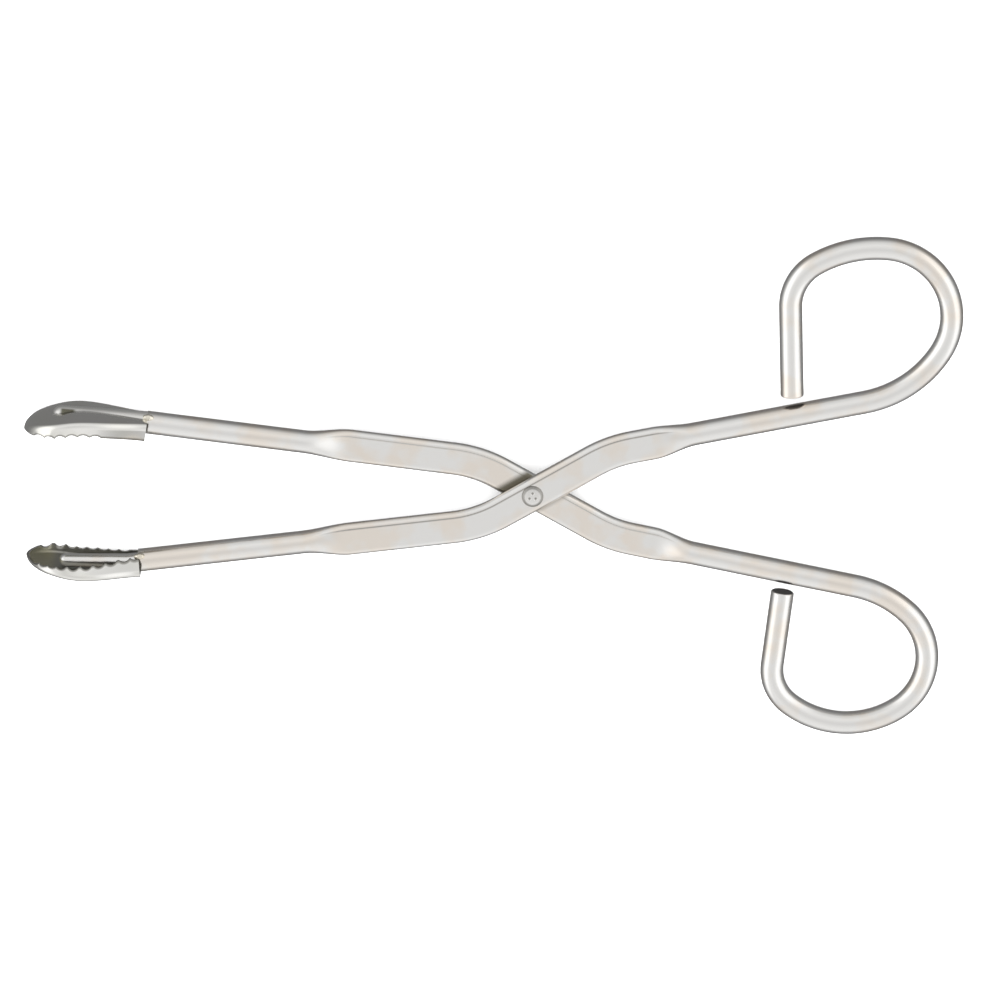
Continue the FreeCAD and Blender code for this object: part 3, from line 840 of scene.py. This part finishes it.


# The painted shade line is darker on the front arm than on the back arm.
front_steel = rod_steel("front_rod_steel", FRONT, (0.42, 0.40, 0.37))
back_steel = rod_steel("back_rod_steel", BACK, (0.62, 0.60, 0.56))

# %% [markdown]
# ## Painted shade where the arms lap
# The back arm is painted dark in the corner beside the front arm, as painted shade where the
# front arm shades it. The mask reads the distance from the front arm's middle line, and is
# kept to the upper face by the height.

# %% The painted shade beside the lap
crossing = math.radians(CROSSING_ANGLE)
beside = along_direction(back_steel, (-math.sin(crossing), math.cos(crossing), 0))
upper_side = band(back_steel, beside, (-0.001, 0.001), (0.0040, 0.0056))
lower_side = band(back_steel, beside, (-0.0050, -0.0036), (-0.001, 0.001))
sides = joined(back_steel, "ADD", upper_side, joined(back_steel, "MULTIPLY", lower_side, 0.5))
on_top = step(back_steel, along_direction(back_steel, (0, 0, 1)), -0.0008, -0.0003)
# Painted shade: the back arm's upper face is darkened beside the front arm, at half strength on the lower
# side.
painted(back_steel, joined(back_steel, "MULTIPLY", sides, on_top), (0.17, 0.155, 0.12), 0.1)
print("the stain runs at", CROSSING_ANGLE, "degrees")

# %% [markdown]
# ## The steel of the jaws
# The jaws are the brightest part outside. Inside they are rough and darkened by painted
# shade, with an olive cast towards the tip. The rib over the tongue is rubbed to a satin and
# carries a painted highlight, and the rims are darkened by painted shade. At the end of the
# upper rib a small dark spot of painted shade stands for a hollow that isn't cut. All of it is
# laid out on the jaw's UV, where the middle of the back is at 15, one rim at 0 and the other at 30.

# %% The steel of the jaws
def trough_steel(name, olive_from):
    """Bright sheet steel: a satin rib with a painted highlight, rims with painted shade, and a rough inside
    with painted shade that is olive towards the tip.
    """
    material = steel(name, (0.84, 0.83, 0.80), (0.80, 0.79, 0.72), 0.4, 0.10, (1, 1, 1), 0.05)
    length, round_it = split_uv(material)
    # Painted highlight: the rib is painted brighter, and it is also made rougher as rubbed satin.
    rib = band(material, round_it, (12.0, 12.8), (17.4, 18.2))
    rib = joined(material, "MULTIPLY", rib, step(material, length, 20.6, 19.8))
    painted(material, rib, (0.97, 0.96, 0.93), 0.25)
    # Painted shade: the inside of the trough is painted dark, and it is also made rougher.
    inside = step(material, round_it, 80.0, 99.0)
    painted(material, inside, (0.36, 0.355, 0.325), 0.35)
    # Painted shade: a dark line along both rims of the sheet.
    far_rim_shade = step(material, round_it, 0.9, 0.3)
    near_rim_shade = band(material, round_it, (29.1, 29.7), (31.0, 32.0))
    painted(material, joined(material, "ADD", far_rim_shade, near_rim_shade), (0.40, 0.39, 0.36), 0.1)
    near_tip = joined(material, "MULTIPLY", inside, step(material, length, olive_from, olive_from + 3.5))
    painted(material, joined(material, "MULTIPLY", near_tip, 0.7), (0.46, 0.44, 0.30), 0.0)
    return material, length, round_it


lower_steel = trough_steel("lower_jaw_steel", 17.5)[0]
upper_steel, upper_length, upper_round = trough_steel("upper_jaw_steel", 19.0)
# Painted shade: a small dark spot at the end of the upper rib stands for a hollow that isn't cut.
hollow_shade_along = band(upper_steel, upper_length, (15.0, 16.2), (18.2, 19.0))
hollow_shade_around = band(upper_steel, upper_round, (16.1, 16.7), (17.5, 18.0))
painted(upper_steel, joined(upper_steel, "MULTIPLY", hollow_shade_along, hollow_shade_around), (0.19, 0.185, 0.14), 0.1)
print("the UV tells the outside, up to", RIM, "from the inside, from", INSIDE)

# %% [markdown]
# ## The rivet and the welds
# The rivet's rim and dimples are painted a little darker than its top, as painted shade.
# Both lie lower than the top, so one step on the height marks them. The weld metal keeps
# a straw tint from its heat.

# %% The steel of the rivet and the welds
rivet_steel = steel("peened_rivet_steel", (0.82, 0.81, 0.79), (0.78, 0.74, 0.68), 0.4, 0.18,
                    (1.5, 1.5, 1), 0.2)
rivet_height = along_direction(rivet_steel, (0, 0, 1))
# Painted shade: the rim and dimples, lower than the top, are painted darker.
painted(rivet_steel, step(rivet_steel, rivet_height, 0.00320, 0.00306), (0.34, 0.33, 0.31), 0.1)
weld_steel = steel("weld_metal", (0.86, 0.82, 0.72), (0.74, 0.66, 0.52), 0.5, 0.25, (1.5, 1.5, 1), 0.2)

# %% Put the steels on the pieces
front_arm.data.materials.append(front_steel)
back_arm.data.materials.append(back_steel)
lower_jaw.data.materials.append(lower_steel)
upper_jaw.data.materials.append(upper_steel)
rivet.data.materials.append(rivet_steel)
for bead in beads:
    bead.data.materials.append(weld_steel)
print("pieces with a steel:", [piece.name for piece in (front_arm, back_arm, lower_jaw, upper_jaw, rivet)],
      "and", len(beads), "beads")

# %% [markdown]
# ## Floor, light and camera
# Polished steel shows what is around it more than its own colour. The floor is plain pale
# paper. It takes no part in the reflections, as when the object stands on a raised sheet of
# glass, because a white floor would leave the rods without their dark edges.

# %% The floor
bpy.ops.mesh.primitive_plane_add(size=4, location=(0, 0, -0.0086))
floor = bpy.context.object
floor.name = "floor"
paper = bpy.data.materials.new("pale_paper")
paper.use_nodes = True
paper.node_tree.nodes["Principled BSDF"].inputs["Base Color"].default_value = (0.93, 0.93, 0.93, 1)
paper.node_tree.nodes["Principled BSDF"].inputs["Roughness"].default_value = 0.9
floor.data.materials.append(paper)
floor.visible_glossy = False
print("floor at", floor.location.z)

# %% [markdown]
# ## The studio
# Soft boxes could give the reflections, but each would show as a shape with an edge. A world
# whose light depends on the direction alone is softer. It is bright above and grey below, so
# that every rod gets pale bands with darker edges. Wide glows to the right and to the left
# put white stripes on the rods that run up and down the picture. A third, faint one lights
# what faces the picture's lower edge.

# %% The sky by height
SKY = [(-1.0, 0.20), (-0.6, 0.21), (-0.38, 0.27), (-0.15, 0.46), (0.0, 0.57), (0.2, 0.73), (0.35, 0.78),
       (0.55, 0.84), (0.7, 0.90), (0.85, 0.86), (0.95, 0.80), (1.0, 0.74)]
scene = bpy.context.scene
scene.view_settings.view_transform = "Standard"
studio = bpy.data.worlds.new("studio")
scene.world = studio
studio.use_nodes = True
sky_nodes, sky_links = studio.node_tree.nodes, studio.node_tree.links
where = sky_nodes.new("ShaderNodeTexCoord")
split = sky_nodes.new("ShaderNodeSeparateXYZ")
sky_links.new(where.outputs["Generated"], split.inputs["Vector"])
from_below = sky_nodes.new("ShaderNodeMapRange")
from_below.inputs["From Min"].default_value = -1
from_below.inputs["From Max"].default_value = 1
sky_links.new(split.outputs["Z"], from_below.inputs["Value"])
ramp = sky_nodes.new("ShaderNodeValToRGB")
stops = ramp.color_ramp.elements
for z, light in SKY[1:-1]:
    stops.new((z + 1) / 2)
for stop, (z, light) in zip(stops, SKY):
    stop.color = (light, light, light, 1)
sky_links.new(from_below.outputs["Result"], ramp.inputs["Fac"])
print("sky stops", [(round(2 * stop.position - 1, 2), round(stop.color[0], 2)) for stop in stops])

# %% The three glows
GLOWS = [("X", 0.4, 0.75, 0.40), ("X", -0.5, -0.85, 0.50), ("Y", -0.7, -0.95, 0.15)]
over_horizon = step(studio, split.outputs["Z"], -0.15, 0.2)
total_light = ramp.outputs["Color"]
for axis, start, end, strength in GLOWS:
    glow = joined(studio, "MULTIPLY", step(studio, split.outputs[axis], start, end), strength)
    glow = joined(studio, "MULTIPLY", glow, over_horizon)
    total_light = joined(studio, "ADD", total_light, glow)
sky_links.new(total_light, sky_nodes["Background"].inputs["Color"])
print("glows", len(GLOWS))

# %% A soft lamp for the floor
lamp_data = bpy.data.lights.new("soft_lamp", "AREA")
lamp_data.shape = "DISK"
lamp_data.size = 1.6
lamp_data.energy = 45.0
lamp = bpy.data.objects.new("soft_lamp", lamp_data)
lamp.location = (0, 0.1, 1.4)
lamp.visible_glossy = False
scene.collection.objects.link(lamp)
print("lamp at", tuple(lamp.location))

# %% [markdown]
# ## The camera
# The photograph was taken from nearly straight above, a little towards the upper edge of the
# picture, and from far away, so the camera has a long lens. It looks at the middle of the
# forceps and isn't shifted.

# %% The camera
TILT = math.radians(17)
DISTANCE = 2.986
camera_data = bpy.data.cameras.new("camera")
camera_data.lens = 500
camera_data.sensor_width = 36
camera = bpy.data.objects.new("camera", camera_data)
target = np.array([-0.00699, -0.001574, 0])
camera.location = target + DISTANCE * np.array([0, math.sin(TILT), math.cos(TILT)])
camera.rotation_euler = (-TILT, 0, 0)
scene.collection.objects.link(camera)
scene.camera = camera
print("camera at", tuple(camera.location))
